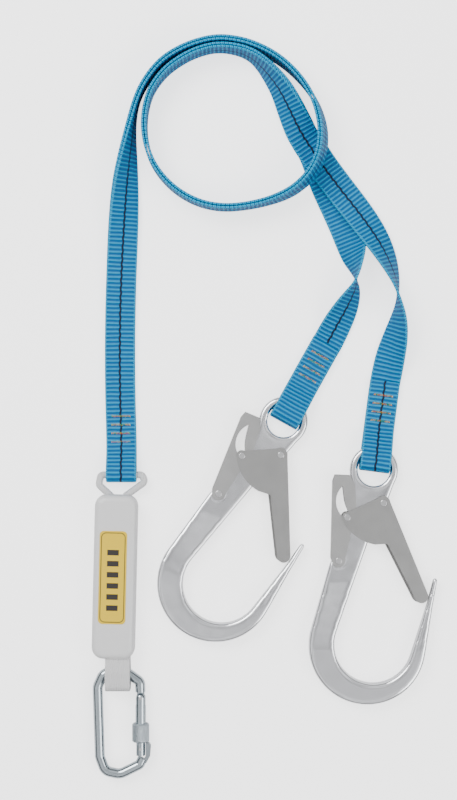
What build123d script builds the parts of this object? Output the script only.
from build123d import *
import math
import os

# Shock absorbing double lanyard lying on a flat surface.  Millimetres, +Z up.
# +Y runs from the carabiner end towards the coil, +X from the absorber towards the hooks.
# The origin is on the surface, under the middle of the hooks, absorber and carabiner.

# Driving dimensions
WEB_WIDTH = 29.0            # polyamide webbing
WEB_THICK = 2.4
LAYER_PITCH = 2.9           # webbing layers laid face to face, centre to centre
TAIL_LENGTH = 85.5          # sewn tail, from the middle of a hook eye
TACK_PITCH = 8.2            # bar tacks
TACK_COUNT = 5
EYE_HOLE_R = 15.5           # hook eye
EYE_OUTER_R = 23.5
HOOK_THICK = 14.0           # forged bend, and over the rivet heads
SHANK_THICK = 7.0           # flat shank and eye
PLATE = 1.2                 # pressed sheet of gate and lever
RUN = 0.05                  # radial running clearance of every pivot
BEND_R_OUTER = 55.8
BEND_R_INNER = 37.2
BAR_R = 4.75                # carabiner bar
SLEEVE_R = 8.2              # locking sleeve, which carries the carabiner on the surface
COVER_SIZE = (41.0, 156.0, 22.0)
LABEL_SIZE = (26.0, 88.0)
LOOP_BAR_R = 3.3            # gathered white webbing where it runs through the blue fold

# Where things lie
ORIGIN = (1.2, -23.4)        # middle of hooks, absorber and carabiner; every node is moved by it
HOOK_PLACES = {"right": (114.0, 57.5, 0.0), "left": (16.2, 103.1, -20.5)}   # gate pivot x, y, turn
LEG_DIRECTIONS = {"right": (0.130, 0.992), "left": (0.487, 0.873)}          # from the eye up the leg
EYE_IN_HOOK = (-8.7, 31.3)
ABSORBER_PLACE = (-141.7, -12.5, -1.3)
FOLD_PLACE = (-136.0, 84.0)  # middle of the white loop's bar inside the blue fold

# Route of the two webbing layers from the shank round the coil: x, y, z, roll in degrees.
# Roll 0 is flat, 90 stands on edge with the left edge up.
PAIR_ROUTE = [
    (-136.3, 126.7, 2.8, 0), (-137.4, 165.0, 2.8, 0), (-137.6, 213.0, 2.8, 0),
    (-136.8, 256.0, 3.0, 1), (-135.4, 294.5, 4.8, 8), (-133.6, 332.0, 8.2, 22),
    (-132.0, 362.0, 11.6, 42), (-129.6, 388.0, 13.8, 63), (-126.7, 414.5, 14.6, 82),
    (-122.4, 437.0, 14.8, 90), (-114.7, 455.0, 14.8, 90), (-101.3, 473.0, 14.8, 90),
    (-87.0, 484.0, 14.8, 90), (-68.0, 493.0, 14.8, 90), (-45.0, 498.5, 14.8, 90),
    (-22.0, 496.0, 14.8, 90), (-3.5, 489.5, 14.8, 90), (12.0, 481.0, 14.8, 90),
    (26.5, 469.5, 15.0, 92), (39.0, 455.5, 16.0, 95), (48.5, 440.0, 18.0, 99),
    (54.0, 423.5, 20.5, 103), (56.2, 407.0, 22.6, 105), (54.6, 390.0, 22.4, 105),
    (48.5, 374.5, 22.0, 104), (38.5, 362.0, 21.4, 100), (24.0, 351.5, 18.4, 96),
    (5.0, 344.5, 15.2, 92), (-16.3, 339.8, 14.8, 90), (-37.5, 338.0, 14.8, 90),
    (-57.0, 341.0, 14.8, 90), (-74.5, 348.5, 14.8, 90), (-90.0, 360.0, 14.8, 90),
    (-102.5, 375.0, 14.8, 90), (-110.0, 391.0, 14.8, 90), (-113.5, 408.0, 14.8, 90),
    (-113.6, 424.0, 14.8, 90), (-111.0, 438.5, 14.8, 90), (-106.5, 451.0, 14.8, 90),
    (-95.5, 466.0, 14.8, 90), (-82.5, 476.5, 14.8, 90), (-65.5, 485.8, 14.8, 90),
    (-45.0, 491.3, 14.8, 90), (-25.0, 489.0, 14.8, 88), (-11.5, 483.5, 14.8, 84),
    (-2.0, 475.5, 14.8, 77), (8.0, 464.0, 14.3, 66), (17.5, 450.5, 13.2, 54),
    (27.0, 430.5, 10.4, 35), (35.5, 412.0, 5.8, 12), (42.0, 401.5, 2.9, 0),
    (48.5, 392.0, 2.8, 0),
]
# Each layer then goes its own way, laid and turned over once, to its hook.
RIGHT_ROUTE = [
    (57.6, 378.0, 4.3, 0), (72.5, 358.0, 4.9, -3), (89.5, 336.0, 7.4, -9),
    (103.0, 316.5, 10.6, -21), (113.0, 299.5, 12.8, -38), (120.5, 283.0, 14.2, -55),
    (126.0, 266.0, 15.0, -74), (128.6, 248.5, 15.4, -93), (128.3, 231.0, 14.6, -118),
    (125.2, 213.5, 11.6, -140), (121.0, 196.5, 6.6, -161), (117.6, 178.5, 2.4, -176),
]
LEFT_ROUTE = [
    (57.8, 364.5, 1.35, 0), (71.0, 336.0, 1.35, 0), (79.2, 317.5, 2.4, 2),
    (84.6, 302.0, 6.8, 22), (87.6, 286.5, 13.4, 62), (88.4, 271.5, 15.6, 92),
    (85.0, 258.0, 13.8, 120), (78.2, 243.0, 10.6, 143), (70.0, 227.5, 5.8, 164),
    (61.4, 210.5, 2.0, 178),
]
# Side view of a sewn eye: distance up the leg from the middle of the hole, and height.
EYE_PROFILE = [
    (76.0, 1.35), (56.0, 1.35), (34.0, 1.35), (15.0, 1.35), (1.0, 1.35), (-1.2, 9.0),
    (1.0, 17.4), (10.0, 17.6), (20.0, 14.2), (29.5, 9.2), (38.0, 4.7), (48.0, 4.25),
    (66.0, 4.25), (TAIL_LENGTH, 4.25),
]
# Side view of the fold that holds the absorber: distance up the shank and height.
FOLD_FRONT = [(-6.0, 7.0), (-6.0, 12.8), (4.0, 13.4), (14.0, 9.6), (24.0, 4.9)]
FOLD_BACK = [(-6.0, 7.0), (-6.0, 1.35), (4.0, 1.35), (14.0, 1.35), (24.0, 1.35)]


def write(node, shape):
    export_step(Location((-ORIGIN[0], -ORIGIN[1], 0)) * shape, f"parts/{node}.step")


def closed_face(curves):
    return make_face([edge for curve in curves for edge in curve.edges()])


def spline_samples(controls, steps=3):
    """Quadratic B-spline through a control list with both ends held."""
    samples = [controls[0]]
    last = len(controls) - 2
    for i in range(1, last + 1):
        start = controls[0] if i == 1 else [(a + b) / 2 for a, b in zip(controls[i - 1], controls[i])]
        end = controls[-1] if i == last else [(a + b) / 2 for a, b in zip(controls[i], controls[i + 1])]
        for k in range(1, steps + 1):
            t = k / steps
            samples.append([(1 - t) ** 2 * a + 2 * t * (1 - t) * b + t * t * c
                            for a, b, c in zip(start, controls[i], end)])
    return samples


def ribbon(stations, heading_of):
    """Flat webbing as ruled spans between rectangular stations.

    A station is x, y, z, roll.  heading_of gives a fixed plan heading for a station, or None
    where the heading is that of the path itself.
    """
    points = [Vector(*s[:3]) for s in stations]
    sections = []
    for i, point in enumerate(points):
        along = (points[min(i + 1, len(points) - 1)] - points[max(i - 1, 0)]).normalized()
        heading = heading_of(i) or along
        level = Vector(-heading.Y, heading.X, 0).normalized()
        roll = math.radians(stations[i][3])
        wide = level * math.cos(roll) + Vector(0, 0, 1) * math.sin(roll)
        wide = (wide - along * wide.dot(along)).normalized()
        plane = Plane(origin=point, x_dir=wide, z_dir=along)
        sections.append(plane * Rectangle(WEB_WIDTH, WEB_THICK))
    return loft(sections, ruled=True)


def offset_pair(side):
    """The shared route moved to one layer: side is +1 for the front layer, -1 for the back."""
    moved = []
    for i, (x, y, z, roll) in enumerate(PAIR_ROUTE):
        before = PAIR_ROUTE[max(i - 1, 0)]
        after = PAIR_ROUTE[min(i + 1, len(PAIR_ROUTE) - 1)]
        heading = Vector(after[0] - before[0], after[1] - before[1], 0).normalized()
        level = Vector(-heading.Y, heading.X, 0)
        turn = math.radians(roll)
        face = level * -math.sin(turn) + Vector(0, 0, 1) * math.cos(turn)
        shift = face * (side * LAYER_PITCH / 2)
        moved.append((x + shift.X, y + shift.Y, z + shift.Z, roll))
    return moved


def hook_point(side, x, y):
    px, py, turn = HOOK_PLACES[side]
    angle = math.radians(turn)
    return (px + x * math.cos(angle) - y * math.sin(angle), py + x * math.sin(angle) + y * math.cos(angle))


def eye_stations(side, roll):
    ex, ey = hook_point(side, *EYE_IN_HOOK)
    ux, uy = LEG_DIRECTIONS[side]
    return [(ex + s * ux, ey + s * uy, z, roll) for s, z in EYE_PROFILE]


def fold_stations(profile):
    fx, fy = FOLD_PLACE
    return [(fx, fy + s, z, 0) for s, z in profile]


def leg(side):
    front = side == "right"
    fold = fold_stations(FOLD_FRONT if front else FOLD_BACK)
    route = RIGHT_ROUTE if front else LEFT_ROUTE
    eye = eye_stations(side, -180 if front else 180)
    controls = fold + offset_pair(1 if front else -1) + route + eye
    samples = spline_samples(controls)
    up = Vector(0, 1, 0)
    down = Vector(-LEG_DIRECTIONS[side][0], -LEG_DIRECTIONS[side][1], 0)
    eye_start = 3 * (len(controls) - len(eye))

    def heading_of(i):
        if i < 12:
            return up
        return down if i > eye_start else None

    length = sum((Vector(*b[:3]) - Vector(*a[:3])).length for a, b in zip(samples, samples[1:]))
    print(f"{side} leg: {len(controls)} points, {length:.0f} mm long")
    return ribbon(samples, heading_of)


def bar_tacks(origin, direction, first, width, base):
    """Rows of zigzag sewing laid across the webbing, as thin bars on its top face."""
    heading = math.degrees(math.atan2(direction[1], direction[0])) - 90
    tacks = []
    for k in range(TACK_COUNT):
        s = first + k * TACK_PITCH
        place = Location((origin[0] + s * direction[0], origin[1] + s * direction[1], base), (0, 0, heading))
        tacks.append(place * Box(width, 1.8, 0.6, align=(Align.CENTER, Align.CENTER, Align.MIN)))
    return Compound(tacks)


# Scaffold hook, in its own frame: gate pivot at x 0, y 0, mouth towards +X, eye towards +Y
HOOK_MID = HOOK_THICK / 2
SHANK_LOW = HOOK_MID - SHANK_THICK / 2
SHANK_HIGH = HOOK_MID + SHANK_THICK / 2
LEVER_GAP = 0.2
LEVER_PLATES = (SHANK_LOW - LEVER_GAP - PLATE, SHANK_HIGH + LEVER_GAP)
GATE_PLATES = (LEVER_PLATES[0] - LEVER_GAP - PLATE, LEVER_PLATES[1] + PLATE + LEVER_GAP)
PIN_R = 2.4
RIVET_R = 2.5
HEAD_R = 3.2
LOCK_PIN = (-34.5, -13.7)
LEVER_PIVOT = (-42.5, -55.2)


def slab(face, low, thick):
    return extrude(face.moved(Location((0, 0, low))), amount=thick, dir=(0, 0, 1))


def disc(radius, x, y, low, thick):
    return Location((x, y, low)) * Cylinder(radius, thick, align=(Align.CENTER, Align.CENTER, Align.MIN))


def hook_outline():
    """Plan outline of the forged body without the eye ring."""
    lines = [
        Polyline((-31.6, 30.0), (-30.6, 12.0), (-30.2, -17.5), (-39.5, -38.0), (-51.0, -58.0), (-69.3, -122.6)),
        ThreePointArc((-69.3, -122.6), (-15.3, -136.6 - BEND_R_OUTER), (39.8, -145.5)),
        Polyline((39.8, -145.5), (47.6, -98.0), (52.0, -74.5)),
        ThreePointArc((52.0, -74.5), (49.9, -71.6), (47.4, -73.6)),
        Polyline((47.4, -73.6), (42.2, -95.0), (26.1, -146.1)),
        ThreePointArc((26.1, -146.1), (-9.5, -135.3 - BEND_R_INNER), (-44.5, -122.8)),
        Polyline((-44.5, -122.8), (-15.1, -40.0), (-8.0, -14.0), (-4.3, -2.2)),
        ThreePointArc((-4.3, -2.2), (3.4, -3.4), (4.5, 1.6)),
        Polyline((4.5, 1.6), (13.6, 26.0), (-8.7, 31.3), (-31.6, 30.0)),
    ]
    return closed_face(lines)


def hook_side_profile():
    """Side view: a thick bend that thins to the flat shank."""
    half_thick = HOOK_THICK / 2
    half_thin = SHANK_THICK / 2
    outline = Polyline(
        (-200, -half_thick), (-140, -half_thick), (-76, -half_thin), (70, -half_thin),
        (70, half_thin), (-76, half_thin), (-140, half_thick), (-200, half_thick), close=True)
    return make_face(outline)


def hook_body():
    plan = slab(hook_outline(), 0, HOOK_THICK)
    side = extrude(Plane((0, 0, HOOK_MID), x_dir=(0, 1, 0), z_dir=(1, 0, 0)) * hook_side_profile(),
                   amount=100, both=True)
    body = plan & side
    ring = disc(EYE_OUTER_R, *EYE_IN_HOOK, SHANK_LOW, SHANK_THICK)
    hole = disc(EYE_HOLE_R, *EYE_IN_HOOK, SHANK_LOW - 1, SHANK_THICK + 2)
    ring = fillet(ring.edges().filter_by(GeomType.CIRCLE), 2.4)
    body = body + ring - hole
    body -= disc(RIVET_R, 0, 0, SHANK_LOW - 1, SHANK_THICK + 2)
    body -= disc(RIVET_R, *LEVER_PIVOT, SHANK_LOW - 1, SHANK_THICK + 2)
    return body - disc(5.0, *LEVER_PIVOT, SHANK_HIGH - 2.0, 3.0)


def gate_plate_outline(flange):
    """One gate cheek: a wide cam plate and the arm down to the nose."""
    lines = [
        ThreePointArc((-38.9, -16.2), (-38.6, -10.6), (-34.3, -8.7)),
        Line((-34.3, -8.7), (-4.4, 5.0)),
        ThreePointArc((-4.4, 5.0), (2.6, 6.1), (6.4, 1.0)),
        Line((6.4, 1.0), (42.0, -86.2)),
        ThreePointArc((42.0, -86.2), (38.0, -95.2), (30.6 - flange, -92.0)),
        Line((30.6 - flange, -92.0), (3.9 - flange, -39.0)),
        Line((3.9 - flange, -39.0), (-8.0, -39.6)),
        ThreePointArc((-8.0, -39.6), (-28.2, -30.3), (-38.9, -16.2)),
    ]
    return closed_face(lines)


def gate():
    low, high = GATE_PLATES
    body = slab(gate_plate_outline(2.0), low, PLATE) + slab(gate_plate_outline(0.0), high, PLATE)
    spine_face = make_face(Polyline((8.0, -2.9), (41.2, -84.2), (40.1, -84.65), (6.9, -3.35), close=True))
    body += slab(spine_face, low, high + PLATE - low)
    body -= disc(RIVET_R + RUN, 0, 0, low - 1, HOOK_THICK + 2)
    return body - disc(PIN_R, *LOCK_PIN, low - 1, HOOK_THICK + 2)


def lever_outline():
    lines = [
        Polyline((-48.4, 20.5), (-46.0, 26.8), (-31.4, 26.2), (-27.1, 16.8), (-25.9, -3.8), (-30.9, -28.7), (-36.6, -54.2)),
        ThreePointArc((-36.6, -54.2), (-41.0, -61.0), (-48.2, -58.2)),
        Polyline((-48.2, -58.2), (-50.1, -53.0), (-48.4, 20.5)),
    ]
    return closed_face(lines)


def lever_slot():
    """Curved slot that the lock pin travels in as lever and gate turn together."""
    lines = [
        ThreePointArc((-38.9, 16.0), (-45.1, 1.0), (-37.4, -14.4)),
        ThreePointArc((-37.4, -14.4), (-34.3, -16.6), (-31.6, -13.7)),
        Spline((-31.6, -13.7), (-33.1, -9.4), (-36.4, -0.8), (-37.9, 8.5), (-38.9, 16.0)),
    ]
    return closed_face(lines)


def lever():
    low, high = LEVER_PLATES
    cheeks = slab(lever_outline(), low, PLATE) + slab(lever_outline(), high, PLATE)
    spine = make_face(Polyline((-49.9, -46.0), (-48.4, 20.4), (-47.2, 20.4), (-48.7, -46.0), close=True))
    body = cheeks + slab(spine, low, high + PLATE - low)
    body -= slab(lever_slot(), low - 1, HOOK_THICK)
    return body - disc(RIVET_R + RUN, *LEVER_PIVOT, low - 1, HOOK_THICK)


def rivet(x, y, low, high, radius):
    """Shank between two domed heads that sit on the outer plates."""
    head = HOOK_THICK - GATE_PLATES[1] - PLATE
    shank = disc(radius, x, y, low, high - low)
    top = disc(HEAD_R, x, y, high, head)
    bottom = disc(HEAD_R, x, y, low - head, head)
    top = fillet(top.edges().group_by(Axis.Z)[-1], head * 0.8)
    bottom = fillet(bottom.edges().group_by(Axis.Z)[0], head * 0.8)
    return shank + top + bottom


def torsion_spring(x, y, low, radius, wire):
    """One turn of spring wire round a rivet."""
    return Location((x, y, low + wire)) * Torus(radius, wire)


def hook_nodes(side):
    px, py, turn = HOOK_PLACES[side]
    place = Location((px, py, 0), (0, 0, turn))
    low, high = GATE_PLATES
    nodes = {
        "hook_body": hook_body(),
        "gate": gate(),
        "lever": lever(),
        "gate_rivet": rivet(0, 0, low, high + PLATE, RIVET_R),
        "lock_pin": rivet(*LOCK_PIN, low, high + PLATE, PIN_R),
        "lever_rivet": rivet(*LEVER_PIVOT, LEVER_PLATES[0], LEVER_PLATES[1] + PLATE, RIVET_R),
        "gate_spring": torsion_spring(0, 0, SHANK_HIGH + 0.05, 3.4, 0.6),
        "lever_spring": torsion_spring(*LEVER_PIVOT, SHANK_HIGH - 1.8, 3.8, 0.7),
    }
    for name, shape in nodes.items():
        write(f"{side}_{name}", place * shape)


# Carabiner, lying in the plane z = SLEEVE_R
CARABINER_Z = SLEEVE_R + 0.05
GATE_AXIS_X = -117.4
HINGE_Y = -128.6
GATE_END_Y = -183.6
GATE_R = 5.0
NOSE_R = 4.3
TANG = 4.0
SLEEVE_TOP_Y = -153.0
SLEEVE_LENGTH = 17.6


def tube(path, radius):
    start = path.location_at(0)
    section = Plane(origin=start.position, z_dir=path.tangent_at(0)) * Circle(radius)
    return sweep(section, path=path)


def carabiner_frame():
    path = FilletPolyline(
        (-117.6, -123.0, CARABINER_Z), (-118.0, -113.5, CARABINER_Z), (-130.5, -104.6, CARABINER_Z),
        (-152.6, -104.6, CARABINER_Z), (-158.6, -118.0, CARABINER_Z), (-156.4, -185.0, CARABINER_Z),
        (-151.4, -198.6, CARABINER_Z), (-137.0, -201.6, CARABINER_Z), (-118.4, -192.4, CARABINER_Z),
        (-115.6, -186.5, CARABINER_Z),
        radius=(5.0, 9.0, 8.5, 10.0, 9.0, 9.0, 12.0, 3.5))
    bar = tube(path, BAR_R)
    bar -= Location((GATE_AXIS_X, GATE_END_Y - 0.4, CARABINER_Z)) * Box(
        40, 12, 30, align=(Align.CENTER, Align.MIN, Align.CENTER))
    bar -= Location((GATE_AXIS_X, HINGE_Y + 5.5, CARABINER_Z)) * Box(
        14, 12, 30, align=(Align.CENTER, Align.MAX, Align.CENTER))
    tang = slab(closed_face([
        Line((GATE_AXIS_X - 3.6, HINGE_Y), (GATE_AXIS_X - 3.6, HINGE_Y + 8.0)),
        Line((GATE_AXIS_X - 3.6, HINGE_Y + 8.0), (GATE_AXIS_X + 3.6, HINGE_Y + 8.0)),
        Line((GATE_AXIS_X + 3.6, HINGE_Y + 8.0), (GATE_AXIS_X + 3.6, HINGE_Y)),
        ThreePointArc((GATE_AXIS_X + 3.6, HINGE_Y), (GATE_AXIS_X, HINGE_Y - 3.6), (GATE_AXIS_X - 3.6, HINGE_Y)),
    ]), CARABINER_Z - TANG / 2, TANG)
    horn = slab(make_face(Polyline(
        (-112.6, -184.2), (-112.6, -172.0), (-109.6, -171.2), (-107.6, -174.0), (-108.4, -184.0),
        (-112.0, -190.5), (-116.0, -190.5), close=True)), CARABINER_Z - 3.2, 6.4)
    frame = bar + tang + horn
    return frame - disc(1.6, GATE_AXIS_X, HINGE_Y, CARABINER_Z - 5, 10)


def carabiner_gate():
    toward_nose = Plane(origin=(GATE_AXIS_X, HINGE_Y, CARABINER_Z), x_dir=(1, 0, 0), z_dir=(0, -1, 0))
    bottom = (Align.CENTER, Align.CENTER, Align.MIN)
    length = HINGE_Y - GATE_END_Y
    body = toward_nose * Cylinder(GATE_R, length - 13.0, align=bottom)
    body += Location((GATE_AXIS_X, HINGE_Y, CARABINER_Z)) * Sphere(GATE_R)
    body += toward_nose * Cylinder(NOSE_R, length, align=bottom)
    slot = Location((GATE_AXIS_X, HINGE_Y + 6, CARABINER_Z)) * Box(
        12, 13.5, TANG + 0.6, align=(Align.CENTER, Align.MAX, Align.CENTER))
    body -= slot
    body -= disc(1.6 + RUN, GATE_AXIS_X, HINGE_Y, CARABINER_Z - 6, 12)
    return body - disc(1.5, GATE_AXIS_X, GATE_END_Y + 6.4, CARABINER_Z - 6, 12)


def carabiner_sleeve():
    place = Plane(origin=(GATE_AXIS_X, SLEEVE_TOP_Y, CARABINER_Z), x_dir=(1, 0, 0), z_dir=(0, -1, 0))
    bottom = (Align.CENTER, Align.CENTER, Align.MIN)
    nut = place * Cylinder(SLEEVE_R, SLEEVE_LENGTH, align=bottom)
    nut = chamfer(nut.edges().filter_by(GeomType.CIRCLE), 1.0)
    return nut - place * Cylinder(GATE_R + RUN, SLEEVE_LENGTH, align=bottom)


def pin_through(x, y, radius, half):
    return disc(radius, x, y, CARABINER_Z - half, 2 * half)


def absorber_pack():
    """Tear webbing folded back and forth and held by rip stitching, as one serpentine."""
    width, length, _ = COVER_SIZE
    layers = 5
    pitch = 3.4
    first = 11.0 - pitch * (layers - 1) / 2
    solids = None
    for k in range(layers):
        layer = Location((0, 0, first + k * pitch)) * Box(width - 9, length - 22, WEB_THICK)
        solids = layer if solids is None else solids + layer
        if k < layers - 1:
            end = (length - 22) / 2 - 1.2
            y = end if k % 2 == 0 else -end
            solids += Location((0, y, first + (k + 0.5) * pitch)) * Box(width - 9, WEB_THICK, pitch)
    return solids


def absorber_cover():
    """Closed film sleeve, wrinkled in use, with rounded shoulders."""
    width, length, height = COVER_SIZE
    outer = RectangleRounded(width, length, 11.0)
    outer = extrude(outer, amount=height)
    outer = fillet(outer.edges().group_by(Axis.Z)[0] + outer.edges().group_by(Axis.Z)[-1], 6.0)
    inner = extrude(RectangleRounded(width - 2.4, length - 2.4, 9.8), amount=height - 2.4)
    inner = Location((0, 0, 1.2)) * fillet(inner.edges().group_by(Axis.Z)[0] + inner.edges().group_by(Axis.Z)[-1], 4.8)
    return outer - inner


def absorber_label():
    plate = extrude(RectangleRounded(*LABEL_SIZE, 4.0), amount=0.5)
    return Location((-1.6, 0.0, COVER_SIZE[2])) * plate


def upper_loop():
    """White webbing gathered into a round loop through the blue fold."""
    z = 7.0
    fx, fy = FOLD_PLACE
    path = FilletPolyline(
        (-145.5, 63.5, z), (fx - 21.5, fy - 9.5, z), (fx - 19.6, fy, z), (fx + 19.6, fy, z),
        (fx + 23.0, fy - 6.5, z), (-132.5, 63.5, z), radius=(4.0, 3.0, 3.0, 4.2))
    return tube(path, LOOP_BAR_R)


def lower_loop():
    """Flat white webbing round the carabiner bar, seen from the side and drawn out to its width."""
    outline = FilletPolyline(
        (-88.0, 15.5), (-103.0, 21.2), (-121.5, 21.2), (-121.5, 0.3), (-99.0, 0.3), (-88.0, 6.5),
        radius=(1.6, 4.0, 7.0, 7.0, 4.0, 1.6), close=True)
    face = Plane.YZ * make_face(outline)
    inner = offset(face, amount=-3.0, kind=Kind.INTERSECTION)
    band = extrude(face - inner, amount=12.0, both=True, dir=(1, 0, 0))
    return Location((-138.9, 0, 0)) * band


def write_absorber():
    x, y, turn = ABSORBER_PLACE
    place = Location((x, y, 0), (0, 0, turn))
    write("absorber_tear_webbing", place * absorber_pack())
    write("absorber_cover", place * absorber_cover())
    write("absorber_label", place * absorber_label())
    write("absorber_upper_loop", upper_loop())
    write("absorber_lower_loop", lower_loop())


def write_carabiner():
    write("carabiner_frame", carabiner_frame())
    write("carabiner_gate", carabiner_gate())
    write("carabiner_sleeve", carabiner_sleeve())
    write("carabiner_hinge_pin", pin_through(GATE_AXIS_X, HINGE_Y, 1.6, 4.8))
    write("carabiner_latch_pin", pin_through(GATE_AXIS_X, GATE_END_Y + 6.4, 1.5, 4.2))


def write_webbing():
    write("front_leg", leg("right"))
    write("back_leg", leg("left"))
    for side in ("right", "left"):
        eye = hook_point(side, *EYE_IN_HOOK)
        write(f"{side}_eye_stitching", bar_tacks(eye, LEG_DIRECTIONS[side], 39.0, 18.0, 5.45))
    write("absorber_eye_stitching", bar_tacks((FOLD_PLACE[0] - 0.6, FOLD_PLACE[1]), (0, 1), 23.4, 18.0, 5.45))


os.makedirs("parts", exist_ok=True)
write_webbing()
for hook_side in HOOK_PLACES:
    hook_nodes(hook_side)
write_absorber()
write_carabiner()
